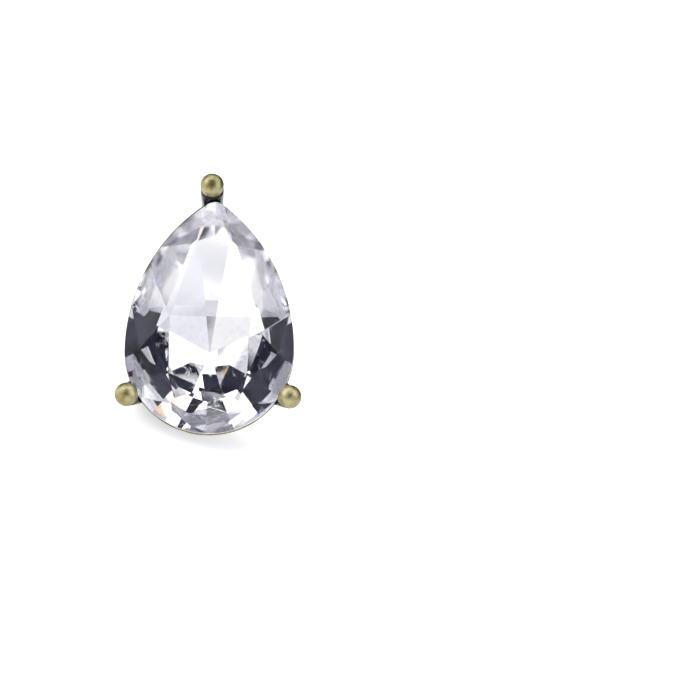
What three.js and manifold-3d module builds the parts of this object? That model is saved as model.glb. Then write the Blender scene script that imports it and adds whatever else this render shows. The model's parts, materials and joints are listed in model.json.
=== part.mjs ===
// Stud earring: a pear-cut crystal in a closed brass cup with three ball-tipped prongs and a post.
//
// Millimetres, +Z up. Both pieces are made in the stud's own frame: x to its right, y towards the
// point of the pear, z out of its face, with the middle of the pear's round end at the origin and
// the stone's girdle at z = 0. The stud is then laid on the ground as it rests by itself: on the
// tip of its post, the back edge of its cup and the foot of one lower prong, face up and forward.

import * as THREE from 'three';
import { mergeVertices } from 'three/addons/utils/BufferGeometryUtils.js';
import Module from 'manifold-3d';

const wasm = await Module();
wasm.setup();

// ---------------------------------------------------------------- driving dimensions

const pear = {
  roundRadius: 6.5, // the round end
  sideRadius: 13.87, // each long side, tangent to the round end
  tipRadius: 1.1, // the blunted point
  sharpest: 0.3, // tip radius of an outline drawn inside the stone's
};

const stone = {
  girdle: 0.34, // height of the plain band round the outline
  crown: 1.2, // girdle to table
  pavilion: 3.5, // girdle to the point at the back
  ease: 0.12, // girdle facets start this far outside the outline, so that none notches it
  pointEase: 0.3, // and the long star facets this far past the point
  turn: -1.5, // degrees that it sits askew in its seat
};

const cup = {
  rimOffset: 0.1, // rim outside the stone's outline
  rim: -0.55, // height of the rim
  back: -5.2, // height of the flat back
  taper: 1.7, // how far the wall leans in, from rim to back
  floor: 0.65,
};

const seat = {
  clearance: 0.14, // between the stone and the metal
  rimInset: 0, // the rim's inner edge follows the stone's outline
  wallInset: 0.45, // inner wall at the bottom of the bevel that faces the stone
  bevel: -1.05, // height where that bevel ends
  floorInset: 3.0,
  notchTop: 0.55, // height where the notch in the prongs starts to slope in over the crown
  notchRise: 1.2, // how far it goes on at 45 degrees
};

const prong = {
  ballRadius: 0.925,
  ballHeight: 0.6,
  shaftRadius: 0.92,
  neckRadius: 0.85, // groove below the ball
  footRadius: 0.74,
  shaftTop: -0.62, // along the prong, from the ball's centre
  neckTop: -0.45,
  neckAngle: -23, // where the ball begins, in degrees from its equator
};

const prongs = [
  // direction from the origin, distance of the ball's centre, lean inwards towards the back
  { angle: 90, reach: 12.75, lean: 25 },
  { angle: -30, reach: 7.24, lean: 20 },
  { angle: 210, reach: 7.24, lean: 20 },
];

const post = {
  radius: 0.45,
  length: 11,
  y: 2.5, // above the middle of the round end
  padRadius: 0.85, // solder pad and its fillet
  padHeight: 0.15,
  filletHeight: 0.6,
  root: 0.3, // depth of the root inside the cup's floor
  grooveRadius: 0.35, // groove that an ear nut clicks into
  groove: [2.0, 1.8, 1.5, 1.3], // where its four edges are, from the tip
  tipRadius: 0.3, // flat end inside the chamfer
  chamfer: 0.25,
};

// Crown: table corners on the right half, each with the direction that its kite facet faces. The
// first kite is the long facet from the table's straight top edge to the stone's point.
const corners = [
  { x: 0, y: 2.4, facing: 90, toPoint: true },
  { x: 3.1, y: 2.4, facing: 16 },
  { x: 3.0, y: -2.1, facing: -32 },
  { x: 0, y: -3.3, facing: -90 },
];

// Crown: outer corners of the star facets, each between two table corners. Its height is that of
// the kite named; its two girdle facets meet where the outline faces `split`.
const stars = [
  { from: 0, to: 1, x: 4.3, y: 4.9, kite: 1, split: 29 },
  { from: 1, to: 2, x: 5.3, y: -0.2, kite: 1, split: -8 },
  { from: 2, to: 3, x: 2.4, y: -4.5, kite: 2, split: -61 },
];

// Pavilion: facets round the point on the right half, each with the direction that it faces and
// how far below the girdle it would reach the outline.
const mains = [
  { facing: 90, drop: 1.4 },
  { facing: 34, drop: 1.4 },
  { facing: -8, drop: 1.4 },
  { facing: -50, drop: 1.4 },
  { facing: -90, drop: 1.4 },
];

// Pavilion: where the girdle facets reach in along the ridge between one main and the next, as a
// share of the way from the point to the outline; they meet where the outline faces `split`.
const ridges = [
  { reach: 0.8, split: 60 },
  { reach: 0.6, split: 13 },
  { reach: 0.5, split: -31 },
  { reach: 0.5, split: -70 },
];

const segments = {
  round: 18, // half of the round end
  side: 22,
  tip: 4, // half of the tip
  prong: 24,
  ball: 10, // neck to top
  post: 20,
};

// ---------------------------------------------------------------- solids and meshes

const radians = THREE.MathUtils.degToRad;
const degrees = THREE.MathUtils.radToDeg;
const blockSize = 60; // larger than the stud

function toSolid(geometry) {
  const bare = geometry.clone();
  bare.deleteAttribute('normal');
  bare.deleteAttribute('uv');
  const merged = mergeVertices(bare, 1e-5);
  return new wasm.Manifold(new wasm.Mesh({
    numProp: 3,
    vertProperties: new Float32Array(merged.attributes.position.array),
    triVerts: new Uint32Array(merged.index.array),
  }));
}

function toGeometry(solid) {
  const mesh = solid.getMesh();
  const geometry = new THREE.BufferGeometry();
  geometry.setAttribute('position', new THREE.BufferAttribute(mesh.vertProperties, 3));
  geometry.setIndex(new THREE.BufferAttribute(mesh.triVerts, 1));
  return geometry;
}

// Cuts off everything on the far side of a plane from `inside`.
function cut(solid, plane, inside) {
  if (plane.distanceToPoint(inside) > 0) plane.negate();
  const block = new THREE.BoxGeometry(blockSize, blockSize, blockSize).translate(0, 0, blockSize / 2);
  block.applyQuaternion(new THREE.Quaternion().setFromUnitVectors(new THREE.Vector3(0, 0, 1), plane.normal));
  block.translate(...plane.coplanarPoint(new THREE.Vector3()));
  return solid.subtract(toSolid(block));
}

// A turned piece about z, from [radius, height] pairs that start and end on the axis.
function turned(profile, around) {
  const points = profile.map(([radius, height]) => new THREE.Vector2(radius, height));
  return new THREE.LatheGeometry(points, around).rotateX(Math.PI / 2);
}

// ---------------------------------------------------------------- the pear outline

// The three arcs of the right half, for an outline moved outwards by `offset`. Each arc is named
// by the directions, in degrees, that the outline faces along it.
function arcs(offset) {
  const side = pear.sideRadius + offset;
  const sideCentre = pear.roundRadius - pear.sideRadius;
  const tip = Math.max(pear.tipRadius + offset, pear.sharpest);
  const tipCentre = Math.sqrt((side - tip) ** 2 - sideCentre ** 2);
  const joint = degrees(Math.atan2(tipCentre, -sideCentre));
  return [
    { from: -90, to: 0, x: 0, y: 0, radius: pear.roundRadius + offset, steps: segments.round },
    { from: 0, to: joint, x: sideCentre, y: 0, radius: side, steps: segments.side },
    { from: joint, to: 90, x: 0, y: tipCentre, radius: tip, steps: segments.tip },
  ];
}

// The point of the outline that faces a direction on the right half.
function outlinePoint(facing, offset = 0) {
  const arc = arcs(offset).find(({ to }) => facing <= to);
  const angle = radians(facing);
  return new THREE.Vector2(arc.x + arc.radius * Math.cos(angle), arc.y + arc.radius * Math.sin(angle));
}

// The whole outline, anticlockwise from the bottom, with the same number of points at any offset.
function outline(offset) {
  const facings = arcs(offset).flatMap(({ from, to, steps }) => (
    Array.from({ length: steps }, (_, i) => from + (to - from) * i / steps)
  ));
  const right = facings.map((facing) => outlinePoint(facing, offset));
  const left = right.slice(1).reverse().map(({ x, y }) => new THREE.Vector2(-x, y));
  return [...right, outlinePoint(90, offset), ...left];
}

// A closed solid through outlines at rising heights.
function loft(sections) {
  const rings = sections.map(({ height, offset }) => outline(offset).map(({ x, y }) => [x, y, height]));
  const count = rings[0].length;
  const top = count * (rings.length - 1);
  const index = [];
  for (let level = 0; level < top; level += count) {
    for (let i = 0; i < count; i += 1) {
      const a = level + i;
      const b = level + (i + 1) % count;
      index.push(a, b, b + count, a, b + count, a + count);
    }
  }
  const cap = (ring) => THREE.ShapeUtils.triangulateShape(ring.map(([x, y]) => new THREE.Vector2(x, y)), []);
  for (const [a, b, c] of cap(rings[0])) index.push(c, b, a);
  for (const [a, b, c] of cap(rings.at(-1))) index.push(top + a, top + b, top + c);
  const geometry = new THREE.BufferGeometry();
  geometry.setAttribute('position', new THREE.Float32BufferAttribute(rings.flat(2), 3));
  geometry.setIndex(index);
  return toSolid(geometry);
}

// ---------------------------------------------------------------- the stone

const girdleHalf = stone.girdle / 2;
const tableHeight = girdleHalf + stone.crown;
const culet = new THREE.Vector3(0, 0, -girdleHalf - stone.pavilion);

// A facet on the middle line is cut once, any other on the right and on the left.
const sidesOf = (facing) => (Math.abs(facing) === 90 ? [1] : [1, -1]);

const along = (facing, side) => (
  new THREE.Vector3(-side * Math.sin(radians(facing)), Math.cos(radians(facing)), 0)
);

function onOutline(facing, height, side, offset = 0) {
  const { x, y } = outlinePoint(facing, offset);
  return new THREE.Vector3(side * x, y, height);
}

function planeThrough(...points) {
  return new THREE.Plane().setFromCoplanarPoints(...points);
}

// From a table corner down to the girdle, which it touches along its own direction.
function kitePlane({ x, y, facing }, side) {
  const touch = onOutline(facing, girdleHalf, side);
  return planeThrough(new THREE.Vector3(side * x, y, tableHeight), touch, touch.clone().add(along(facing, side)));
}

// Out of the point at the back, to `drop` below the girdle.
function mainPlane({ facing, drop }, side) {
  const touch = onOutline(facing, -girdleHalf - drop, side);
  return planeThrough(culet, touch, touch.clone().add(along(facing, side)));
}

// The pair of facets from one inner corner to the girdle, on either side of `split`.
function girdleFacets(solid, apex, height, split, ends, side) {
  const middle = onOutline(split, height, side, stone.ease);
  return ends.reduce((rest, end) => {
    const plane = planeThrough(apex, middle, onOutline(end, height, side, stone.ease));
    return cut(rest, plane, new THREE.Vector3());
  }, solid);
}

// Where a star facet's inner edge ends: at a table corner, or just past the stone's point.
function starEnd({ x, y, facing, toPoint }, side) {
  return toPoint
    ? onOutline(facing, girdleHalf, side, stone.pointEase)
    : new THREE.Vector3(side * x, y, tableHeight);
}

function cutCrown(blank) {
  let solid = blank;
  for (const corner of corners) {
    for (const side of sidesOf(corner.facing)) solid = cut(solid, kitePlane(corner, side), new THREE.Vector3());
  }
  for (const { from, to, x, y, kite, split } of stars) {
    const ends = [corners[from], corners[to]];
    for (const side of [1, -1]) {
      const upright = new THREE.Ray(new THREE.Vector3(side * x, y, culet.z), new THREE.Vector3(0, 0, 1));
      const apex = upright.intersectPlane(kitePlane(corners[kite], side), new THREE.Vector3());
      const edge = ends.map((corner) => starEnd(corner, side));
      solid = cut(solid, planeThrough(...edge, apex), new THREE.Vector3());
      solid = girdleFacets(solid, apex, girdleHalf, split, ends.map(({ facing }) => facing), side);
    }
  }
  return solid;
}

// Distance from the origin to the outline, in a direction given by a vector.
function distanceToOutline({ x, y }) {
  const length = Math.hypot(x, y);
  if (y <= 0) return pear.roundRadius;
  const centre = pear.sideRadius - pear.roundRadius;
  const shift = centre * Math.abs(x) / length;
  return Math.sqrt(shift ** 2 + pear.sideRadius ** 2 - centre ** 2) - shift;
}

function cutPavilion(blank) {
  let solid = blank;
  for (const main of mains) {
    for (const side of sidesOf(main.facing)) solid = cut(solid, mainPlane(main, side), new THREE.Vector3());
  }
  ridges.forEach(({ reach, split }, i) => {
    const ends = [mains[i], mains[i + 1]];
    for (const side of [1, -1]) {
      const [a, b] = ends.map((main) => mainPlane(main, side).normal);
      const ridge = new THREE.Vector3().crossVectors(a, b);
      if (ridge.z < 0) ridge.negate();
      const share = reach * distanceToOutline(ridge) / Math.hypot(ridge.x, ridge.y);
      const apex = culet.clone().addScaledVector(ridge, share);
      solid = girdleFacets(solid, apex, -girdleHalf, split, ends.map(({ facing }) => facing), side);
    }
  });
  return solid;
}

function makeStone() {
  const blank = loft([{ height: culet.z, offset: 0 }, { height: tableHeight, offset: 0 }]);
  return cutPavilion(cutCrown(blank));
}

// ---------------------------------------------------------------- the setting

function makeProng({ angle, reach, lean }) {
  const foot = -(prong.ballHeight - cup.back) / Math.cos(radians(lean)) - prong.footRadius;
  const ball = Array.from({ length: segments.ball }, (_, i) => {
    const rise = radians(prong.neckAngle + (90 - prong.neckAngle) * i / segments.ball);
    return [prong.ballRadius * Math.cos(rise), prong.ballRadius * Math.sin(rise)];
  });
  const geometry = turned([
    [0, foot],
    [prong.footRadius, foot],
    [prong.shaftRadius, prong.shaftTop],
    [prong.neckRadius, prong.neckTop],
    ...ball,
    [0, prong.ballRadius],
  ], segments.prong);
  geometry.rotateY(radians(lean)).rotateZ(radians(angle));
  geometry.translate(reach * Math.cos(radians(angle)), reach * Math.sin(radians(angle)), prong.ballHeight);
  return toSolid(geometry);
}

function makePost() {
  const grooveRadii = [post.radius, post.grooveRadius, post.grooveRadius, post.radius];
  const profile = [
    [0, -post.length],
    [post.tipRadius, -post.length],
    [post.radius, post.chamfer - post.length],
    ...post.groove.toReversed().map((fromTip, i) => [grooveRadii[i], fromTip - post.length]),
    [post.radius, -post.filletHeight],
    [post.padRadius, -post.padHeight],
    [post.padRadius, post.root],
    [0, post.root],
  ];
  return toSolid(turned(profile, segments.post).translate(0, post.y, cup.back));
}

// The room that the stone and its clearance take inside the cup, and between the prongs.
function seatSpaces() {
  const cavity = loft([
    { height: cup.back + cup.floor, offset: -seat.floorInset },
    { height: seat.bevel, offset: -seat.wallInset },
    { height: cup.rim, offset: -seat.rimInset },
    { height: cup.rim + seat.clearance, offset: -seat.rimInset },
  ]);
  const notch = loft([
    { height: cup.rim, offset: seat.clearance },
    { height: seat.notchTop, offset: seat.clearance },
    { height: seat.notchTop + seat.notchRise, offset: seat.clearance - seat.notchRise },
  ]);
  return [cavity, notch.rotate([0, 0, stone.turn])];
}

function makeSetting() {
  const wall = loft([
    { height: cup.back, offset: cup.rimOffset - cup.taper },
    { height: cup.rim, offset: cup.rimOffset },
  ]);
  const withProngs = prongs.reduce((solid, each) => solid.add(makeProng(each)), wall);
  const backPlane = planeThrough(
    new THREE.Vector3(0, 0, cup.back),
    new THREE.Vector3(1, 0, cup.back),
    new THREE.Vector3(0, 1, cup.back),
  );
  const flatBacked = cut(withProngs, backPlane, new THREE.Vector3());
  const seated = seatSpaces().reduce((solid, space) => solid.subtract(space), flatBacked);
  return seated.add(makePost());
}

// ---------------------------------------------------------------- the assembly at rest

const crystal = new THREE.Mesh(
  toGeometry(makeStone()),
  new THREE.MeshStandardMaterial({ color: 0xe6e7f0, roughness: 0.05, metalness: 0 }),
);
crystal.name = 'crystal';
crystal.rotation.z = radians(stone.turn);

const setting = new THREE.Mesh(
  toGeometry(makeSetting()),
  new THREE.MeshStandardMaterial({ color: 0x8f8753, roughness: 0.4, metalness: 1 }),
);
setting.name = 'setting';

// Down, in the stud's frame, when it rests on three points of the setting: the lowest of the
// post, of the left prong's foot and of the cup's back edge.
function restingDown() {
  const vertices = setting.geometry.attributes.position;
  const points = Array.from({ length: vertices.count }, (_, i) => (
    new THREE.Vector3().fromBufferAttribute(vertices, i)
  ));
  const behind = cup.back - post.filletHeight;
  const footSide = -pear.roundRadius / 2;
  const regions = [
    points.filter(({ z }) => z < behind),
    points.filter(({ x, z }) => z >= behind && x < footSide),
    points.filter(({ x, z }) => z >= behind && x >= footSide),
  ];
  const down = new THREE.Vector3(-1, -2, -1).normalize();
  for (let round = 0; round < segments.round; round += 1) {
    const lowest = regions.map((region) => region.reduce((a, b) => (b.dot(down) > a.dot(down) ? b : a)));
    const plane = planeThrough(...lowest);
    if (plane.normal.dot(down) < 0) plane.negate();
    down.copy(plane.normal);
  }
  return down;
}

// Turns the stud so that it rests on z = 0 and its face looks towards -y.
function restPose() {
  const up = restingDown().negate();
  const face = new THREE.Vector3(0, 0, 1);
  const back = face.projectOnPlane(up).negate().normalize();
  const right = new THREE.Vector3().crossVectors(back, up);
  return new THREE.Matrix4().makeBasis(right, back, up).transpose();
}

const stud = new THREE.Group();
stud.add(crystal, setting);
stud.applyMatrix4(restPose());
stud.updateMatrixWorld(true);
const box = new THREE.Box3().setFromObject(stud, true);
const middle = box.getCenter(new THREE.Vector3());
stud.position.set(-middle.x, -middle.y, -box.min.z);

export default stud;
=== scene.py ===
"""Looks of the stud earring: a faceted crystal with a silvered back, held in an antique brass
setting. Sizes are millimetres in the stud's own frame (x to its right, y towards the point of
the pear, z out of its face), and become metres where a mesh, a shader or the camera is made."""

import json
import math
from collections import namedtuple

import bmesh
import bpy
import numpy as np
from mathutils import Matrix, Vector, noise


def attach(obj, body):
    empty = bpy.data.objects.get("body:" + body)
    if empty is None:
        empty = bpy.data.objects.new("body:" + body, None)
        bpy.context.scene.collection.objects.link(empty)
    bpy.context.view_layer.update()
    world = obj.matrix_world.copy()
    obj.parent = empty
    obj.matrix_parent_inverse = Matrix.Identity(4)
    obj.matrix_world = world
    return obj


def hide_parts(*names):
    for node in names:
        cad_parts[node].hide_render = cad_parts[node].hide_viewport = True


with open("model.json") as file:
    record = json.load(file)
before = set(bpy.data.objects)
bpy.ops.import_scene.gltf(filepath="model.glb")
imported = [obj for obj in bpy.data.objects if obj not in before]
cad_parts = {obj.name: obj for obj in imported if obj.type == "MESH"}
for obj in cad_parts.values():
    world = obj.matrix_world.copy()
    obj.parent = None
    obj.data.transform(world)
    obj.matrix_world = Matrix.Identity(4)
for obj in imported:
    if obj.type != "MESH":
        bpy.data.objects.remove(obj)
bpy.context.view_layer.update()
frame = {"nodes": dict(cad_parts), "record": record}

MM = 0.001

# ---------------------------------------------------------------- sizes, as in the part's source

PEAR = {"round": 6.5, "side": 13.87, "tip": 1.1, "sharpest": 0.3}
STONE_TURN = math.radians(-1.5)
CUP = {"rim_offset": 0.1, "rim": -0.55, "back": -5.2, "taper": 1.7, "floor": 0.65}
SEAT = {"clearance": 0.14, "wall_inset": 0.45, "bevel": -1.05, "floor_inset": 3.0,
        "notch_top": 0.55}
BALL = {"radius": 0.925, "height": 0.6}
SHAFT = {"radius": 0.92, "foot": 0.74, "top": -0.62}
NECK = {"radius": 0.85, "top": -0.45, "angle": math.radians(-23)}
PRONGS = {
    "prong_point": {"angle": 90, "reach": 12.75, "lean": 25},
    "prong_right": {"angle": -30, "reach": 7.24, "lean": 20},
    "prong_left": {"angle": 210, "reach": 7.24, "lean": 20},
}
POST = {"radius": 0.45, "length": 11, "y": 2.5, "pad": 0.85, "pad_height": 0.15,
        "fillet": 0.6, "root": 0.3, "groove": 0.35, "edges": (2.0, 1.8, 1.5, 1.3),
        "tip": 0.3, "chamfer": 0.25}
EAR_BACK_Y = -1.5  # where the record's ear_back mount lies on the cup's back

# ---------------------------------------------------------------- sizes that are only seen here

EDGE_SOFTENING = 0.035  # of the stone's crown edges
# the worn outer edge of the cup's rim: its two corners, one near the top and one on the wall, lie
# this far in from the rim's own offset and below the rim
RIM_EDGE = {"inset": 0.055, "drop": 0.04, "wall_inset": 0.04, "wall_drop": 0.13}
CUP_MIDDLE = -4.6  # offset at which the cup's profile starts and ends, round its middle
ON_WALL = 0.06  # a point of that profile is on the outer wall if it is this near
SOLDER_REACH = 0.45  # how far a fillet reaches from the joint of a prong and the cup
CAST = {"cup_dents": 0.02, "prong_dents": 0.018, "pits": 0.012}  # depths
SEAT_SPARE = 0.04  # how far behind the seat's surface the prongs' shafts stop

# points round each piece, and the longest stretch of its profile
FINENESS = {
    "prong": {"around": 96, "step": 0.09, "ball": 44},
    "cup": {"around": 560, "step": 0.1},
    "post": {"around": 64, "step": 0.12},
}
NEAR_AXIS = 0.02  # a turned profile starts and ends this far from its axis

# ---------------------------------------------------------------- colours

# a pair is the two ends of a cloudy mix, and the tent's colours are light
PATINA = (0.006, 0.005, 0.007), (0.026, 0.022, 0.020)
GOLD = (0.22, 0.19, 0.08), (0.38, 0.35, 0.20)
GRIME = (0.13, 0.105, 0.05)
GLASS = (0.915, 0.915, 0.935), (0.94, 0.94, 0.95)
GLASS_GLEAM = (0.35, 0.35, 0.37)  # of the reflections on its surface
SILVER = (0.79, 0.79, 0.805), (0.86, 0.86, 0.87)
SILVER_SMOKE = (0.55, 0.55, 0.60)
# the next two are painted shade, then painted light, on the silvering
SILVER_PAINTED_SHADE = (0.56, 0.56, 0.60)
SILVER_PAINTED_LIGHT = (0.99, 0.99, 0.99)
GIRDLE = (0.88, 0.88, 0.92), (0.98, 0.98, 0.99)
TABLE = (0.32, 0.32, 0.325), (0.34, 0.34, 0.34)
# painted light: the table's lighter white round the stud
TABLE_NEAR_PAINTED_LIGHT = (0.72, 0.72, 0.72)
CLOTH = (0.86, 0.86, 0.91), (1.35, 1.35, 1.36)
ROOM = (0.10, 0.10, 0.11)
CAMERA_DARK = (0.008, 0.008, 0.015)
CAMERA_HAZE = (0.062, 0.066, 0.115), (0.080, 0.074, 0.065)

# ---------------------------------------------------------------- the stud's frame


def stud_matrix():
    """The stud's frame in the row frame, from two of the record's mounts: ear_back, on the cup's
    back, and post_end, on the end of the post."""
    mounts = {m["name"]: m for m in frame["record"]["mounts"]}
    back = Vector(mounts["ear_back"]["pos_m"])
    end = Vector(mounts["post_end"]["pos_m"])
    z = -Vector(mounts["ear_back"]["axis"]).normalized()
    y = (end - back + z * POST["length"] * MM).normalized()
    x = y.cross(z).normalized()
    origin = back - y * EAR_BACK_Y * MM - z * CUP["back"] * MM
    return Matrix.Translation(origin) @ Matrix((x, y, z)).transposed().to_4x4()


STUD = stud_matrix()


def direction(x, y, z):
    """A direction given in the stud's frame, in the row frame."""
    return (STUD.to_3x3() @ Vector((x, y, z))).normalized()


# ---------------------------------------------------------------- the pear outline

ARC_SAMPLES = {"round": 200, "side": 400, "tip": 80}  # on the right half of an outline


def pear_arcs(offset=0.0):
    """Centre x of the right side's arc and its radius, centre y of the tip's arc and its radius,
    and the direction that the outline faces where the two meet."""
    side = PEAR["side"] + offset
    centre = PEAR["round"] - PEAR["side"]
    tip = max(PEAR["tip"] + offset, PEAR["sharpest"])
    tip_y = math.sqrt((side - tip) ** 2 - centre**2)
    return centre, side, tip_y, tip, math.atan2(tip_y, -centre)


def pear_distance(x, y):
    """Signed distance of points from the pear's outline, and the outline's outward direction."""
    centre, side, tip_y, tip, joint = pear_arcs()
    x_abs = np.abs(x)
    from_side = x_abs - centre
    in_round = y <= 0
    in_tip = (np.arctan2(y, from_side) > joint) & ~in_round
    ax = np.where(in_round | in_tip, x_abs, from_side)
    ay = np.where(in_tip, y - tip_y, y)
    length = np.hypot(ax, ay) + 1e-12
    radius = np.where(in_round, PEAR["round"], np.where(in_tip, tip, side))
    return length - radius, np.sign(x) * ax / length, ay / length


def pear_outline(offset, count):
    """Points of the outline, even along it, anticlockwise from the bottom."""
    centre, side, tip_y, tip, joint = pear_arcs(offset)
    facing = np.concatenate([
        np.linspace(-math.pi / 2, 0, ARC_SAMPLES["round"], endpoint=False),
        np.linspace(0, joint, ARC_SAMPLES["side"], endpoint=False),
        np.linspace(joint, math.pi / 2, ARC_SAMPLES["tip"]),
    ])
    arc_x = np.where((facing >= 0) & (facing < joint), centre, 0)
    arc_y = np.where(facing < joint, 0, tip_y)
    radius = np.where(facing < 0, PEAR["round"] + offset, np.where(facing < joint, side, tip))
    right = np.stack([arc_x + radius * np.cos(facing), arc_y + radius * np.sin(facing)], 1)
    whole = np.concatenate([right, right[-2::-1] * (-1, 1)])
    run = np.concatenate([[0], np.cumsum(np.hypot(*np.diff(whole, axis=0).T))])
    at = np.arange(count) * run[-1] / count
    return np.stack([np.interp(at, run, whole[:, 0]), np.interp(at, run, whole[:, 1])], 1)


# ---------------------------------------------------------------- mesh helpers


def rounded(corners, steps=5):
    """A polyline through rows of x, y and rounding: how far from a corner, along its two sides,
    the curve round it starts and ends. It takes less than half of either side."""
    points = [np.array(row[:2], float) for row in corners]
    roundings = [row[2] for row in corners[1:-1]]
    result = [points[0]]
    for before, corner, after, rounding in zip(points, points[1:], points[2:], roundings):
        a, b = before - corner, after - corner
        reach = min(rounding, 0.45 * np.linalg.norm(a), 0.45 * np.linalg.norm(b))
        start, end = (corner + v / np.linalg.norm(v) * reach for v in (a, b))
        for t in np.linspace(0, 1, steps + 1):
            result.append((1 - t) ** 2 * start + 2 * t * (1 - t) * corner + t**2 * end)
    return result + [points[-1]]


def refined(profile, step):
    """The same polyline with no stretch longer than `step`."""
    result = [profile[0]]
    for a, b in zip(profile, profile[1:]):
        count = max(1, math.ceil(np.linalg.norm(b - a) / step))
        result += [a + (b - a) * i / count for i in range(1, count + 1)]
    return result


def ring_mesh(rings):
    """Vertices and faces of a closed surface through rings, with a point at either end."""
    count = len(rings[0])
    vertices = np.concatenate([rings[0].mean(0)[None], *rings, rings[-1].mean(0)[None]])
    last = len(vertices) - 1
    faces = []
    for i in range(count):
        j = (i + 1) % count
        faces.append((0, 1 + j, 1 + i))
        for level in range(len(rings) - 1):
            a, b = 1 + level * count + i, 1 + level * count + j
            faces.append((a, b, b + count, a + count))
        faces.append((last, last - count + i, last - count + j))
    return vertices, faces


def lathe(profile, around):
    """Rings of a turned surface about z from [radius, height] points."""
    angle = np.arange(around) * 2 * math.pi / around
    return [np.stack([r * np.cos(angle), r * np.sin(angle), np.full(around, z)], 1)
            for r, z in profile]


def vertex_normals(vertices, faces):
    """The outward direction at each vertex of a mesh of triangles and quads."""
    normals = np.zeros_like(vertices)
    for corners in (3, 4):
        index = np.array([f for f in faces if len(f) == corners])
        a, b, c = (vertices[index[:, i]] for i in (0, 1, corners - 1))
        face = np.cross(b - a, c - a)
        for i in range(corners):
            np.add.at(normals, index[:, i], face)
    return normals / (np.linalg.norm(normals, axis=1, keepdims=True) + 1e-12)


def fractal(points, size, octaves, seed):
    """Noise from about -1 to 1 at each point, with features about `size` across."""
    shift = Vector((seed, seed * 1.7, seed * 2.3))
    fading, finer = 0.6, 2.0  # from one octave to the next
    return np.array([noise.fractal(Vector(point) / size + shift, fading, finer, octaves)
                     for point in points])


def smoothstep(low, high, value):
    t = np.clip((value - low) / (high - low), 0, 1)
    return t * t * (3 - 2 * t)


def make_piece(name, vertices, faces, material, wear_and_painted_light):
    """A piece of the setting, with how far the patina gives way to gold at each vertex: by wear,
    and on the side of each prong's ball that faces the stone, as painted light.
    """
    mesh = bpy.data.meshes.new(name)
    turn, origin = np.array(STUD.to_3x3()), np.array(STUD.translation)
    mesh.from_pydata((vertices * MM @ turn.T + origin).tolist(), [], faces)
    mesh.attributes.new("wear_and_painted_light", "FLOAT", "POINT").data.foreach_set(
        "value", np.clip(wear_and_painted_light, 0, 1).astype(np.float32))
    mesh.polygons.foreach_set("use_smooth", [True] * len(mesh.polygons))
    mesh.materials.append(material)
    mesh.validate()
    mesh.update()
    piece = bpy.data.objects.new(name, mesh)
    bpy.context.scene.collection.objects.link(piece)
    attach(piece, "root")
    return piece


# ---------------------------------------------------------------- materials


class Nodes:
    """Short calls for making and linking shader nodes."""

    def __init__(self, tree):
        self.tree = tree

    def set(self, socket, value):
        """Links a socket, or gives it a value; a colour is three numbers."""
        if isinstance(value, bpy.types.NodeSocket):
            self.tree.links.new(value, socket)
        elif socket.type == "RGBA":
            socket.default_value = (*value, 1)
        else:
            socket.default_value = value

    def new(self, kind, **inputs):
        node = self.tree.nodes.new(kind)
        for name, value in inputs.items():
            self.set(node.inputs[name.replace("_", " ")], value)
        return node

    def math(self, operation, a, b=0.0):
        node = self.tree.nodes.new("ShaderNodeMath")
        node.operation = operation
        self.set(node.inputs[0], a)
        self.set(node.inputs[1], b)
        return node.outputs[0]

    def vector(self, operation, a, b=(0, 0, 0)):
        """Vector maths, with a number as the result of DOT_PRODUCT and LENGTH."""
        node = self.tree.nodes.new("ShaderNodeVectorMath")
        node.operation = operation
        self.set(node.inputs[0], a)
        self.set(node.inputs[1], b)
        return next(s for s in node.outputs if s.enabled)

    def step(self, value, low, high, start=0.0, end=1.0):
        """Smooth change from `start` to `end` as value goes from low to high."""
        node = self.new("ShaderNodeMapRange", Value=value, From_Min=low, From_Max=high,
                        To_Min=start, To_Max=end)
        node.interpolation_type = "SMOOTHSTEP"
        return node.outputs["Result"]

    def mix(self, share, a, b, blend="MIX"):
        """The colour that goes from a to b as share goes from 0 to 1."""
        node = self.tree.nodes.new("ShaderNodeMix")
        node.data_type, node.blend_type = "RGBA", blend
        sockets = [s for s in node.inputs if s.enabled and s.name in ("A", "B")]
        self.set(node.inputs["Factor"], share)
        self.set(sockets[0], a)
        self.set(sockets[1], b)
        return next(s for s in node.outputs if s.enabled)

    def noise(self, size, detail, roughness=0.5, distortion=0.0, at=None):
        """Noise with features about `size` across, in metres unless `at` is given."""
        node = self.new("ShaderNodeTexNoise", Scale=1 / size, Detail=detail,
                        Roughness=roughness, Distortion=distortion)
        self.set(node.inputs["Vector"], at or self.place())
        return node.outputs["Fac"]

    def place(self):
        return self.tree.nodes.new("ShaderNodeTexCoord").outputs["Object"]


def new_material(name):
    material = bpy.data.materials.new(name)
    material.use_nodes = True
    return material, Nodes(material.node_tree), material.node_tree.nodes["Principled BSDF"]


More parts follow.
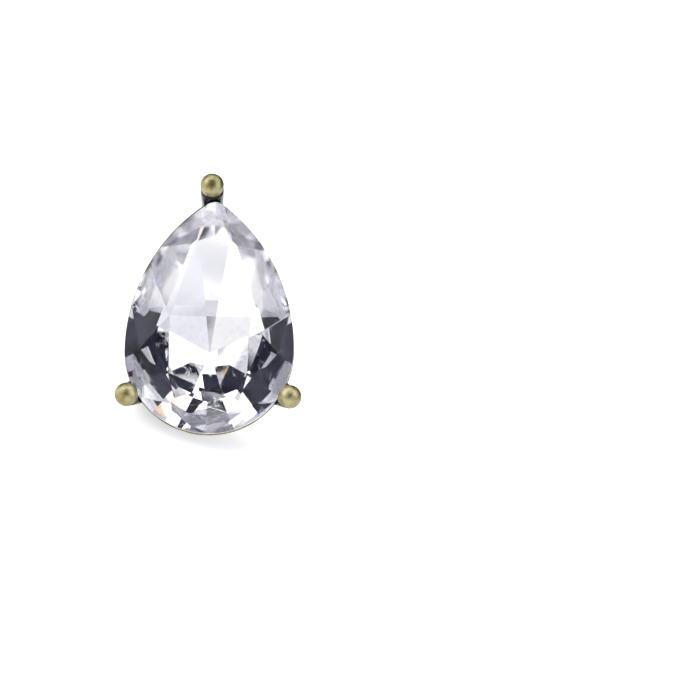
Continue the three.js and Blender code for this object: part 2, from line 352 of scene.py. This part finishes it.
def antique_brass():
    """Near-black patina, giving way to pale gold by the meshes' wear, by painted light on the
    prongs' balls, and in small patches.
    """
    material, n, shader = new_material("antique_brass")
    attribute = n.new("ShaderNodeAttribute")
    attribute.attribute_name = "wear_and_painted_light"
    cloud = n.noise(0.8 * MM, 4, 0.6)
    fine = n.noise(0.16 * MM, 4, 0.65, 0.3)
    grain = n.noise(0.05 * MM, 2, 0.6)
    rubbed_and_painted_light = attribute.outputs["Fac"]
    for patches, weight in ((cloud, 0.6), (fine, 0.35)):
        uneven = n.math("MULTIPLY", n.math("SUBTRACT", patches, 0.5), weight)
        rubbed_and_painted_light = n.math("ADD", rubbed_and_painted_light, uneven)
    share = n.step(rubbed_and_painted_light, 0.22, 0.86)
    gold = n.mix(n.step(cloud, 0.35, 0.65), *GOLD)
    gold = n.mix(n.step(grain, 0.56, 0.72, 0.0, 0.45), gold, GRIME)
    patina = n.mix(cloud, *PATINA)
    n.set(shader.inputs["Base Color"], n.mix(share, patina, gold))
    n.set(shader.inputs["Metallic"], n.step(share, 0.0, 1.0, 0.85, 1.0))
    rough = n.math("ADD", n.step(fine, 0.3, 0.7, 0.20, 0.27), n.math("MULTIPLY", share, 0.18))
    n.set(shader.inputs["Roughness"], rough)
    height = n.math("ADD", fine, n.math("MULTIPLY", grain, 0.3))
    bump = n.new("ShaderNodeBump", Strength=0.5, Distance=0.02 * MM, Height=height)
    n.set(shader.inputs["Normal"], bump.outputs["Normal"])
    return material


def along(n, axis):
    """How far a place is along an axis of the stud's frame, in metres."""
    ahead = direction(*axis)
    return n.math("SUBTRACT", n.vector("DOT_PRODUCT", n.place(), ahead),
                  STUD.translation.dot(ahead))


def within(n, region):
    """1 inside a soft-edged region of the stone, the same on both of its sides, and 0 outside."""
    x, y = n.math("ABSOLUTE", along(n, (1, 0, 0))), along(n, (0, 1, 0))
    return n.math("MULTIPLY", n.step(x, *region["x"]), n.step(y, *region["y"]))


def crystal_glass(name, tint, smoothest, roughest):
    """Clear glass, a little uneven in colour and polish, and darker where tint is below 1."""
    material, n, shader = new_material(name)
    haze = n.noise(0.35 * MM, 5, 0.7)
    colour = n.mix(1.0, n.mix(haze, *GLASS), (tint, tint, tint), blend="MULTIPLY")
    n.set(shader.inputs["Base Color"], colour)
    n.set(shader.inputs["Roughness"], n.step(haze, 0.3, 0.7, smoothest, roughest))
    n.set(shader.inputs["Specular Tint"], GLASS_GLEAM)
    shader.inputs["Transmission Weight"].default_value = 1.0
    shader.inputs["IOR"].default_value = 1.56
    return material


# where painted light and painted shade change the silvering: from the first number, where they
# haven't, to the second, where they have
PAINTED_LIGHT_TO_POINT = 2.0 * MM, 6.0 * MM
PAINTED_SHADE_SIDES = {"x": (4.2 * MM, 5.2 * MM), "y": (0.8 * MM, -0.6 * MM)}
PAINTED_SHADE_FOOT = {"x": (3.0 * MM, 1.8 * MM), "y": (-3.6 * MM, -4.8 * MM)}


def crystal_foil():
    """The silvered back: cloudy and smudged silver, painted lighter towards the stone's point as
    painted light, and painted darker at its lower sides and a little at its foot as painted
    shade."""
    material, n, shader = new_material("crystal_foil")
    cloud = n.noise(1.6 * MM, 3)
    smoke = n.noise(0.45 * MM, 4, 0.6, 0.4)
    tint = n.mix(cloud, *SILVER)
    tint = n.mix(n.step(smoke, 0.40, 0.75, 0.0, 0.22), tint, SILVER_SMOKE)
    # painted shade: the silvering darker at the stone's lower sides and a little at its foot
    foot = n.math("MULTIPLY", within(n, PAINTED_SHADE_FOOT), 0.55)
    painted_shade_share = n.math("MAXIMUM", within(n, PAINTED_SHADE_SIDES), foot)
    tint = n.mix(painted_shade_share, tint, SILVER_PAINTED_SHADE)
    # painted light: the silvering lighter towards the stone's point
    painted_light_share = n.step(along(n, (0, 1, 0)), *PAINTED_LIGHT_TO_POINT)
    n.set(shader.inputs["Base Color"], n.mix(painted_light_share, tint, SILVER_PAINTED_LIGHT))
    shader.inputs["Metallic"].default_value = 1.0
    smudge = n.step(n.noise(0.7 * MM, 4, 0.65, 0.8), 0.48, 0.72, 0.0, 0.16)
    rough = n.math("MAXIMUM", smudge, n.math("MULTIPLY", painted_light_share, 0.07))
    n.set(shader.inputs["Roughness"], rough)
    waves = n.noise(4.5 * MM, 0)
    bump = n.new("ShaderNodeBump", Strength=1.0, Distance=0.08 * MM, Height=waves)
    n.set(shader.inputs["Normal"], bump.outputs["Normal"])
    return material


def crystal_girdle():
    """The silvered band round the stone, left matt by grinding."""
    material, n, shader = new_material("crystal_girdle")
    grain = n.noise(0.08 * MM, 3, 0.6)
    n.set(shader.inputs["Base Color"], n.mix(grain, *GIRDLE))
    n.set(shader.inputs["Roughness"], n.step(grain, 0.3, 0.7, 0.28, 0.42))
    shader.inputs["Metallic"].default_value = 1.0
    return material


# ---------------------------------------------------------------- the stone

# how much a facet faces the front: the crown's more than the first, the pavilion's less than the
# second, and the girdle's in between
CROWN_FACING, PAVILION_FACING = 0.1, -0.2
SAME_PLACE = 0.001
SAME_FACET = math.radians(0.3)
SHARP_EDGE = math.radians(2)


def make_stone():
    """The stone's own solid, with its crown edges softened as polishing leaves them, and tinted
    darker there as painted shade.
    """
    face = direction(0, 0, 1)
    mesh = frame["nodes"]["crystal"].data.copy()
    mesh.materials.clear()
    glass = crystal_glass("crystal_glass", 1.0, 0.0, 0.0)
    # painted shade: the softened edges' glass is tinted darker, so that they show as thin dark
    # lines
    edge = crystal_glass("crystal_edge_painted_shade", 0.92, 0.06, 0.18)
    for material in (glass, crystal_foil(), crystal_girdle(), edge):
        mesh.materials.append(material)
    on_crown, on_pavilion, on_girdle, on_edge = range(4)
    work = bmesh.new()
    work.from_mesh(mesh)
    bmesh.ops.remove_doubles(work, verts=work.verts, dist=SAME_PLACE * MM)
    bmesh.ops.dissolve_limit(work, angle_limit=SAME_FACET, verts=work.verts, edges=work.edges)
    crown = [e for e in work.edges if len(e.link_faces) == 2
             and min(f.normal.dot(face) for f in e.link_faces) > CROWN_FACING
             and e.calc_face_angle() > SHARP_EDGE]
    softened = bmesh.ops.bevel(work, geom=crown, offset=EDGE_SOFTENING * MM, segments=2,
                               profile=0.5, affect="EDGES", clamp_overlap=True)["faces"]
    for polygon in work.faces:
        facing = polygon.normal.dot(face)
        if facing < PAVILION_FACING:
            polygon.material_index = on_pavilion
        elif facing < CROWN_FACING:
            polygon.material_index = on_girdle
        else:
            polygon.material_index = on_crown
        polygon.smooth = False
    for polygon in softened:
        polygon.material_index = on_edge
    work.to_mesh(mesh)
    work.free()
    stone = bpy.data.objects.new("stone", mesh)
    bpy.context.scene.collection.objects.link(stone)
    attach(stone, "root")
    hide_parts("crystal")


# ---------------------------------------------------------------- the setting


def prong_axis(spec):
    """The centre of a prong's ball, the direction up its shaft, and the one out from the cup."""
    angle, lean = math.radians(spec["angle"]), math.radians(spec["lean"])
    out = np.array([math.cos(angle), math.sin(angle), 0.0])
    up = np.array([0.0, 0.0, 1.0])
    axis = math.cos(lean) * up + math.sin(lean) * out
    centre = spec["reach"] * out + BALL["height"] * up
    return centre, axis, out


def prong_foot(spec):
    """How far below its ball's centre a prong's axis meets the plane of the cup's back."""
    return (CUP["back"] - BALL["height"]) / math.cos(math.radians(spec["lean"]))


def shaft_distance(points, spec):
    """Signed distance of points from the surface of a prong's shaft."""
    centre, axis, _ = prong_axis(spec)
    up_shaft = (points - centre) @ axis
    away = np.linalg.norm(points - centre - up_shaft[:, None] * axis, axis=1)
    foot = prong_foot(spec)
    share = np.clip((up_shaft - foot) / (SHAFT["top"] - foot), 0, 1)
    return away - (SHAFT["foot"] + (SHAFT["radius"] - SHAFT["foot"]) * share)


def wall_offset(z):
    """Offset of the cup's outer wall from the pear's outline, at a height."""
    return CUP["rim_offset"] - CUP["taper"] * (CUP["rim"] - z) / (CUP["rim"] - CUP["back"])


def wall_distance(points):
    """Signed distance of points from the cup's outer wall."""
    slope = math.atan2(CUP["taper"], CUP["rim"] - CUP["back"])
    outside = pear_distance(points[:, 0], points[:, 1])[0] - wall_offset(points[:, 2])
    return outside * math.cos(slope)


def solder(distance):
    """How far a surface stands out in the fillet round a joint, at a distance from the other."""
    return SOLDER_REACH / 4 * np.clip(1 - np.maximum(distance, 0) / SOLDER_REACH, 0, 1) ** 2


def clear_of_stone(points):
    """Moves points out of the seat, then out of the stone's room between the prongs. Also gives
    how far each was moved from the stone's room."""
    above_rim = points[:, 2] > CUP["rim"]
    levels = [CUP["back"] + CUP["floor"], SEAT["bevel"], CUP["rim"]]
    seat = np.interp(points[:, 2], levels, [-SEAT["floor_inset"], -SEAT["wall_inset"], 0])
    distance, nx, ny = pear_distance(points[:, 0], points[:, 1])
    push = np.where(above_rim, 0, np.clip(seat + SEAT_SPARE - distance, 0, None))
    x0, y0 = points[:, 0] + nx * push, points[:, 1] + ny * push
    # the stone's room is turned as the stone is
    c, s = math.cos(STONE_TURN), math.sin(STONE_TURN)
    x, y = x0 * c + y0 * s, y0 * c - x0 * s
    distance, nx, ny = pear_distance(x, y)
    above_notch = np.clip(points[:, 2] - SEAT["notch_top"], 0, None)
    room = np.where(above_rim, SEAT["clearance"] - above_notch - distance, 0)
    push = np.clip(room, 0, None)
    x, y = x + nx * push, y + ny * push
    return np.stack([x * c - y * s, x * s + y * c, points[:, 2]], 1), push


def make_prong(name, spec, material, seed):
    centre, axis, out = prong_axis(spec)
    fineness = FINENESS["prong"]
    foot = prong_foot(spec) - SHAFT["foot"]
    ball = [np.array([math.cos(a), math.sin(a)]) * BALL["radius"]
            for a in np.linspace(NECK["angle"], math.radians(89), fineness["ball"])]
    stem = rounded([  # radius, height along the prong, rounding
        (NEAR_AXIS, foot, 0),
        (SHAFT["foot"], foot, 0.05),
        (SHAFT["radius"], SHAFT["top"], 0.07),
        (NECK["radius"], NECK["top"], 0.03),
        (*ball[0], 0),
    ])
    profile = refined(stem, fineness["step"]) + ball[1:]
    vertices, faces = ring_mesh(lathe(profile, fineness["around"]))
    height = vertices[:, 2].copy()
    side = np.cross(axis, out)
    side /= np.linalg.norm(side)
    across = np.cross(side, axis)
    vertices = centre + vertices @ np.stack([across, side, axis])
    normals = vertex_normals(vertices, faces)
    # the joint with the cup
    on_shaft = smoothstep(-0.7, -1.3, height)
    vertices = vertices + normals * (solder(wall_distance(vertices)) * on_shaft)[:, None]
    # the cast surface: soft dents and small pits
    dents = CAST["prong_dents"] * (0.5 + 0.5 * fractal(vertices, 0.55, 3, seed))
    pits = CAST["pits"] * smoothstep(0.25, 0.6, fractal(vertices, 0.14, 2, seed + 5))
    vertices = vertices - normals * (dents + pits)[:, None]
    # the flat foot
    vertices[:, 2] = np.maximum(vertices[:, 2], CUP["back"])
    vertices, push = clear_of_stone(vertices)
    # gold where the ball faces the front and darker round its sides; gold on its side that faces
    # the stone, painted light so that the stone shows a light reflection beside it; and dark from
    # its neck down
    faces_front = (vertices[:, 2] - centre[2]) / BALL["radius"]
    inner = (centre - vertices) @ out / BALL["radius"]
    wear_and_painted_light = 0.05 + 0.88 * smoothstep(-0.12, 0.45, faces_front) + 0.9 * smoothstep(0.1, 0.6, inner)
    wear_and_painted_light *= smoothstep(-0.40, -0.30, height)
    # rubbed a little where it is notched for the stone, round its foot and down its outside
    wear_and_painted_light += 0.3 * smoothstep(0.0, 0.03, push) * smoothstep(0.2, 0.5, height)
    wear_and_painted_light += 0.25 * smoothstep(CUP["back"] + 0.25, CUP["back"], vertices[:, 2])
    wear_and_painted_light += 0.32 * smoothstep(0.5, 1.0, normals @ out) * smoothstep(-0.7, -1.1, height)
    make_piece(name, vertices, faces, material, wear_and_painted_light)


def make_cup(material):
    rim, back, outer = CUP["rim"], CUP["back"], CUP["rim_offset"]
    inner_floor = back + CUP["floor"]
    fineness = FINENESS["cup"]
    count = fineness["around"]
    profile = refined(rounded([  # offset from the pear's outline, height, rounding
        (CUP_MIDDLE, back, 0),
        (outer - CUP["taper"], back, 0.16),
        (outer - RIM_EDGE["wall_inset"], rim - RIM_EDGE["wall_drop"], 0.06),
        (outer - RIM_EDGE["inset"], rim - RIM_EDGE["drop"], 0.06),
        (0, rim, 0.03),
        (-SEAT["wall_inset"], SEAT["bevel"], 0.1),
        (-SEAT["floor_inset"], inner_floor, 0.2),
        (CUP_MIDDLE, inner_floor, 0),
    ]), fineness["step"])
    rings = [np.column_stack([pear_outline(offset, count), np.full(count, z)])
             for offset, z in profile]
    vertices, faces = ring_mesh(rings)
    normals = vertex_normals(vertices, faces)
    height = vertices[:, 2]
    # the joints with the prongs, on the outer wall alone, and the dents of the cast surface
    on_wall = [float(abs(offset - wall_offset(z)) < ON_WALL) for offset, z in profile]
    on_wall = np.repeat([0.0, *on_wall, 0.0], [1] + [count] * len(rings) + [1])
    bulge = sum(solder(shaft_distance(vertices, spec)) for spec in PRONGS.values())
    bulge = bulge * on_wall * smoothstep(rim - 0.1, rim - 0.7, height)
    dents = CAST["cup_dents"] * (0.5 + 0.5 * fractal(vertices, 1.3, 3, 11))
    dents *= smoothstep(rim - 0.05, rim - 0.4, height)
    vertices = vertices + normals * (bulge - dents)[:, None]
    # rubbed bright along its rim, and a little round its back and in patches
    height = vertices[:, 2]
    wear_and_painted_light = smoothstep(rim - 0.16, rim - 0.02, height)
    wear_and_painted_light += 0.32 * smoothstep(back + 0.3, back + 0.05, height)
    wear_and_painted_light += 0.30 * smoothstep(0.0, 0.6, fractal(vertices, 2.2, 3, 17))
    cup = make_piece("cup", vertices, faces, material, wear_and_painted_light)
    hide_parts("setting")


def make_post(material):
    radius, end = POST["radius"], -POST["length"]
    edges = [end + edge for edge in POST["edges"]]
    profile = refined(rounded([  # radius, height above the cup's back, rounding
        (NEAR_AXIS, end, 0),
        (POST["tip"], end, 0.06),
        (radius, end + POST["chamfer"], 0.06),
        (radius, edges[3], 0.04),
        (POST["groove"], edges[2], 0.05),
        (POST["groove"], edges[1], 0.05),
        (radius, edges[0], 0.04),
        (radius, -POST["fillet"], 0.3),
        (POST["pad"], -POST["pad_height"], 0.12),
        (POST["pad"], POST["root"], 0.05),
        (NEAR_AXIS, POST["root"], 0),
    ]), FINENESS["post"]["step"])
    vertices, faces = ring_mesh(lathe(profile, FINENESS["post"]["around"]))
    height = vertices[:, 2].copy()
    vertices += (0, POST["y"], CUP["back"])
    # darkest round its pad, and rubbed most towards its end
    wear_and_painted_light = 0.45 - 0.4 * smoothstep(-1.2, -0.1, height)
    wear_and_painted_light += 0.2 * smoothstep(end + 1.5, end, height)
    make_piece("post", vertices, faces, material, wear_and_painted_light)


# ---------------------------------------------------------------- the table

TABLE_HALF = 1000 * MM  # half of its width
GLOW = 0.60, 0.76  # under the stud, and beyond it: painted light, weaker under the stud as painted shade in its shadow
GLOW_EDGE = 6.0 * MM, 8.2 * MM  # from the middle of the footprint, as is the next
NEAR_EDGE = 60 * MM, 30 * MM  # painted light: the table is painted a lighter white inside it
SHEET_EDGE = 210 * MM, 150 * MM  # how far behind the stud the white has ended, and starts to


def make_table():
    """A white table that glows a little as painted light, less under the stud as painted shade,
    and is painted a lighter white round the stud as painted light, so that it is white all round
    a soft, tight shadow.
    """
    mesh = bpy.data.meshes.new("floor")
    half = TABLE_HALF
    corners = [(-half, -half, 0), (half, -half, 0), (half, half, 0), (-half, half, 0)]
    mesh.from_pydata(corners, [], [(0, 1, 2, 3)])
    floor = bpy.data.objects.new("floor", mesh)
    bpy.context.scene.collection.objects.link(floor)
    material, n, shader = new_material("white_table")
    away = n.vector("LENGTH", n.place())
    behind = n.vector("DOT_PRODUCT", n.place(), (0, 1, 0))
    painted_light_near, sheet = n.step(away, *NEAR_EDGE), n.step(behind, *SHEET_EDGE)
    # painted light: a lighter white round the stud
    white = n.mix(painted_light_near, n.mix(n.noise(20 * MM, 2), *TABLE), TABLE_NEAR_PAINTED_LIGHT)
    n.set(shader.inputs["Base Color"], n.mix(sheet, ROOM, white))
    n.set(shader.inputs["Emission Color"], (1, 1, 1))
    # the glow is painted light, weaker under the stud as painted shade
    glow = n.step(away, *GLOW_EDGE, *GLOW)
    n.set(shader.inputs["Emission Strength"], n.math("MULTIPLY", sheet, glow))
    shader.inputs["Roughness"].default_value = 0.6
    shader.inputs["Specular IOR Level"].default_value = 0.2
    mesh.materials.append(material)


# ---------------------------------------------------------------- the light tent

# Panels of the tent, later ones over earlier ones: the direction of each in the stud's frame, its
# half width, half height and softness as tangents of angles, and its colour.
Panel = namedtuple("Panel", "spot width height soft colour")
PANELS = [
    # the large lights: above the stud and at its sides
    Panel((0, 1, 0.35), 1.2, 0.5, 0.1, (2.4, 2.4, 2.4)),
    Panel((-0.80, 0.52, 0.38), 0.42, 0.42, 0.08, (3.7, 3.7, 3.7)),
    Panel((0.80, 0.52, 0.38), 0.42, 0.42, 0.08, (3.7, 3.7, 3.7)),
    Panel((-0.95, 0.0, 0.35), 0.30, 0.30, 0.08, (2.3, 2.3, 2.3)),
    Panel((0.95, 0.0, 0.35), 0.30, 0.30, 0.08, (2.3, 2.3, 2.3)),
    # weaker white ones, most of them a little blue
    Panel((0.70, -0.38, 0.60), 0.28, 0.28, 0.1, (1.0, 1.0, 1.06)),
    Panel((-0.70, -0.34, 0.60), 0.28, 0.28, 0.1, (1.05, 1.05, 1.1)),
    Panel((0, -0.58, 0.82), 0.5, 0.09, 0.03, (1.0, 1.0, 1.06)),
    Panel((0, -0.42, 0.9), 0.10, 0.08, 0.02, (0.8, 0.8, 0.84)),
    Panel((-0.89, 0.28, 0.36), 0.12, 0.12, 0.03, (1.05, 1.05, 1.12)),
    # small dark gaps, and a blue-grey one
    Panel((0.74, 0.49, 0.46), 0.11, 0.11, 0.03, (0.03, 0.03, 0.05)),
    Panel((0.88, 0.46, 0.12), 0.08, 0.08, 0.03, (0.05, 0.05, 0.08)),
    Panel((-0.88, 0.47, 0.12), 0.08, 0.08, 0.03, (0.05, 0.05, 0.08)),
    Panel((0.04, -0.48, 0.88), 0.06, 0.03, 0.015, (0.05, 0.05, 0.08)),
    Panel((0.86, -0.48, 0.17), 0.10, 0.10, 0.04, (0.40, 0.43, 0.62)),
    # peach, orange and blue, in place of the colours that a real stone splits from white
    Panel((-0.2, 0.8, 0.5), 0.07, 0.07, 0.03, (1.7, 1.4, 1.2)),
    Panel((0.24, 0.8, 0.5), 0.05, 0.07, 0.03, (1.7, 1.4, 1.2)),
    Panel((-0.62, 0.22, 0.80), 0.025, 0.35, 0.02, (1.5, 0.85, 0.35)),
    Panel((0.62, 0.22, 0.80), 0.025, 0.35, 0.02, (0.35, 0.45, 1.4)),
]
DARK = Panel((0, 0.2, 0.98), 0.56, 0.66, 0.05, CAMERA_DARK)
SHADING = 0.82, 1.15  # of a panel's colour, by the folds of the cloth over it
FOLDS = (1.0, 0.35, 0.45)  # how fine the folds of the cloth are along each axis


def panel_share(n, sight, panel):
    """How much of a panel is seen in each direction of sight: 0 off it, 1 on it."""
    ahead = direction(*panel.spot)
    right = direction(0, 1, 0).cross(ahead).normalized()
    up = ahead.cross(right)
    depth = n.vector("DOT_PRODUCT", sight, ahead)
    depth_safe = n.math("MAXIMUM", depth, 1e-3)
    share = n.step(depth, 0.0, 0.02)
    for axis, half in ((right, panel.width), (up, panel.height)):
        reach = n.math("DIVIDE", n.vector("DOT_PRODUCT", sight, axis), depth_safe)
        inside = n.step(n.math("ABSOLUTE", reach), half + panel.soft, half - panel.soft)
        share = n.math("MULTIPLY", share, inside)
    return share


def light_tent():
    """A white tent round the stud, open behind it and where the camera looks in."""
    world = bpy.data.worlds.new("tent")
    bpy.context.scene.world = world
    world.use_nodes = True
    n = Nodes(world.node_tree)
    sight = n.new("ShaderNodeTexCoord").outputs["Generated"]
    # the cloth and its folds
    fold = n.noise(0.10, 2, distortion=0.6, at=n.vector("MULTIPLY", sight, FOLDS))
    fold = n.math("ADD", fold, n.math("MULTIPLY", n.noise(0.6, 2, at=sight), 0.5))
    cloth = n.step(fold, 0.5, 1.0)
    colour = n.mix(cloth, *CLOTH)
    for panel in PANELS:
        lit = n.mix(cloth, *([shade * v for v in panel.colour] for shade in SHADING))
        colour = n.mix(panel_share(n, sight, panel), colour, lit)
    # the room behind the stud
    behind = n.step(n.vector("DOT_PRODUCT", sight, direction(0, 0, 1)), 0.05, -0.12)
    colour = n.mix(behind, colour, ROOM)
    # the dark behind the camera
    smoke = n.noise(0.09, 4, 0.65, 0.5, at=sight)
    haze = n.mix(n.step(n.noise(0.3, 2, at=sight), 0.55, 0.68), *CAMERA_HAZE)
    dark = n.mix(n.step(smoke, 0.35, 0.72), DARK.colour, haze)
    colour = n.mix(panel_share(n, sight, DARK), colour, dark)
    n.set(world.node_tree.nodes["Background"].inputs["Color"], colour)


# ---------------------------------------------------------------- the camera

STUD_MIDDLE = (0, 3.54, 0)
VIEW = {
    "width": 53.97,  # of the picture, at the stud's face
    "stud_left": 10.794,  # from the picture's middle to the stud's
    "stud_up": 3.508,
    "distance": 450,
    "tilt": math.radians(8),  # seen from a little below its face
    "roll": math.radians(0.9),
}
LIGHT_BOUNCES = 24  # enough for the longest paths in the stone


def make_camera():
    middle = STUD @ (Vector(STUD_MIDDLE) * MM)
    towards = direction(0, -math.sin(VIEW["tilt"]), math.cos(VIEW["tilt"]))
    up = direction(-math.sin(VIEW["roll"]), math.cos(VIEW["roll"]), 0)
    right = up.cross(towards).normalized()
    up = towards.cross(right)
    aim = middle + right * VIEW["stud_left"] * MM - up * VIEW["stud_up"] * MM
    data = bpy.data.cameras.new("camera")
    data.lens = data.sensor_width * VIEW["distance"] / VIEW["width"]
    data.clip_start, data.clip_end = 0.01, 10
    camera = bpy.data.objects.new("camera", data)
    bpy.context.scene.collection.objects.link(camera)
    rotation = Matrix((right, up, towards)).transposed().to_4x4()
    position = aim + towards * VIEW["distance"] * MM
    camera.matrix_world = Matrix.Translation(position) @ rotation
    bpy.context.scene.camera = camera


def render_settings():
    scene = bpy.context.scene
    scene.view_settings.view_transform = "Standard"
    scene.cycles.max_bounces = LIGHT_BOUNCES
    scene.cycles.glossy_bounces = LIGHT_BOUNCES
    scene.cycles.transmission_bounces = LIGHT_BOUNCES
    scene.cycles.blur_glossy = 0.0
    scene.cycles.use_denoising = True


make_stone()
brass = antique_brass()
make_cup(brass)
for number, (name, spec) in enumerate(PRONGS.items()):
    make_prong(name, spec, brass, seed=3 + 7 * number)
make_post(brass)
make_table()
light_tent()
make_camera()
render_settings()
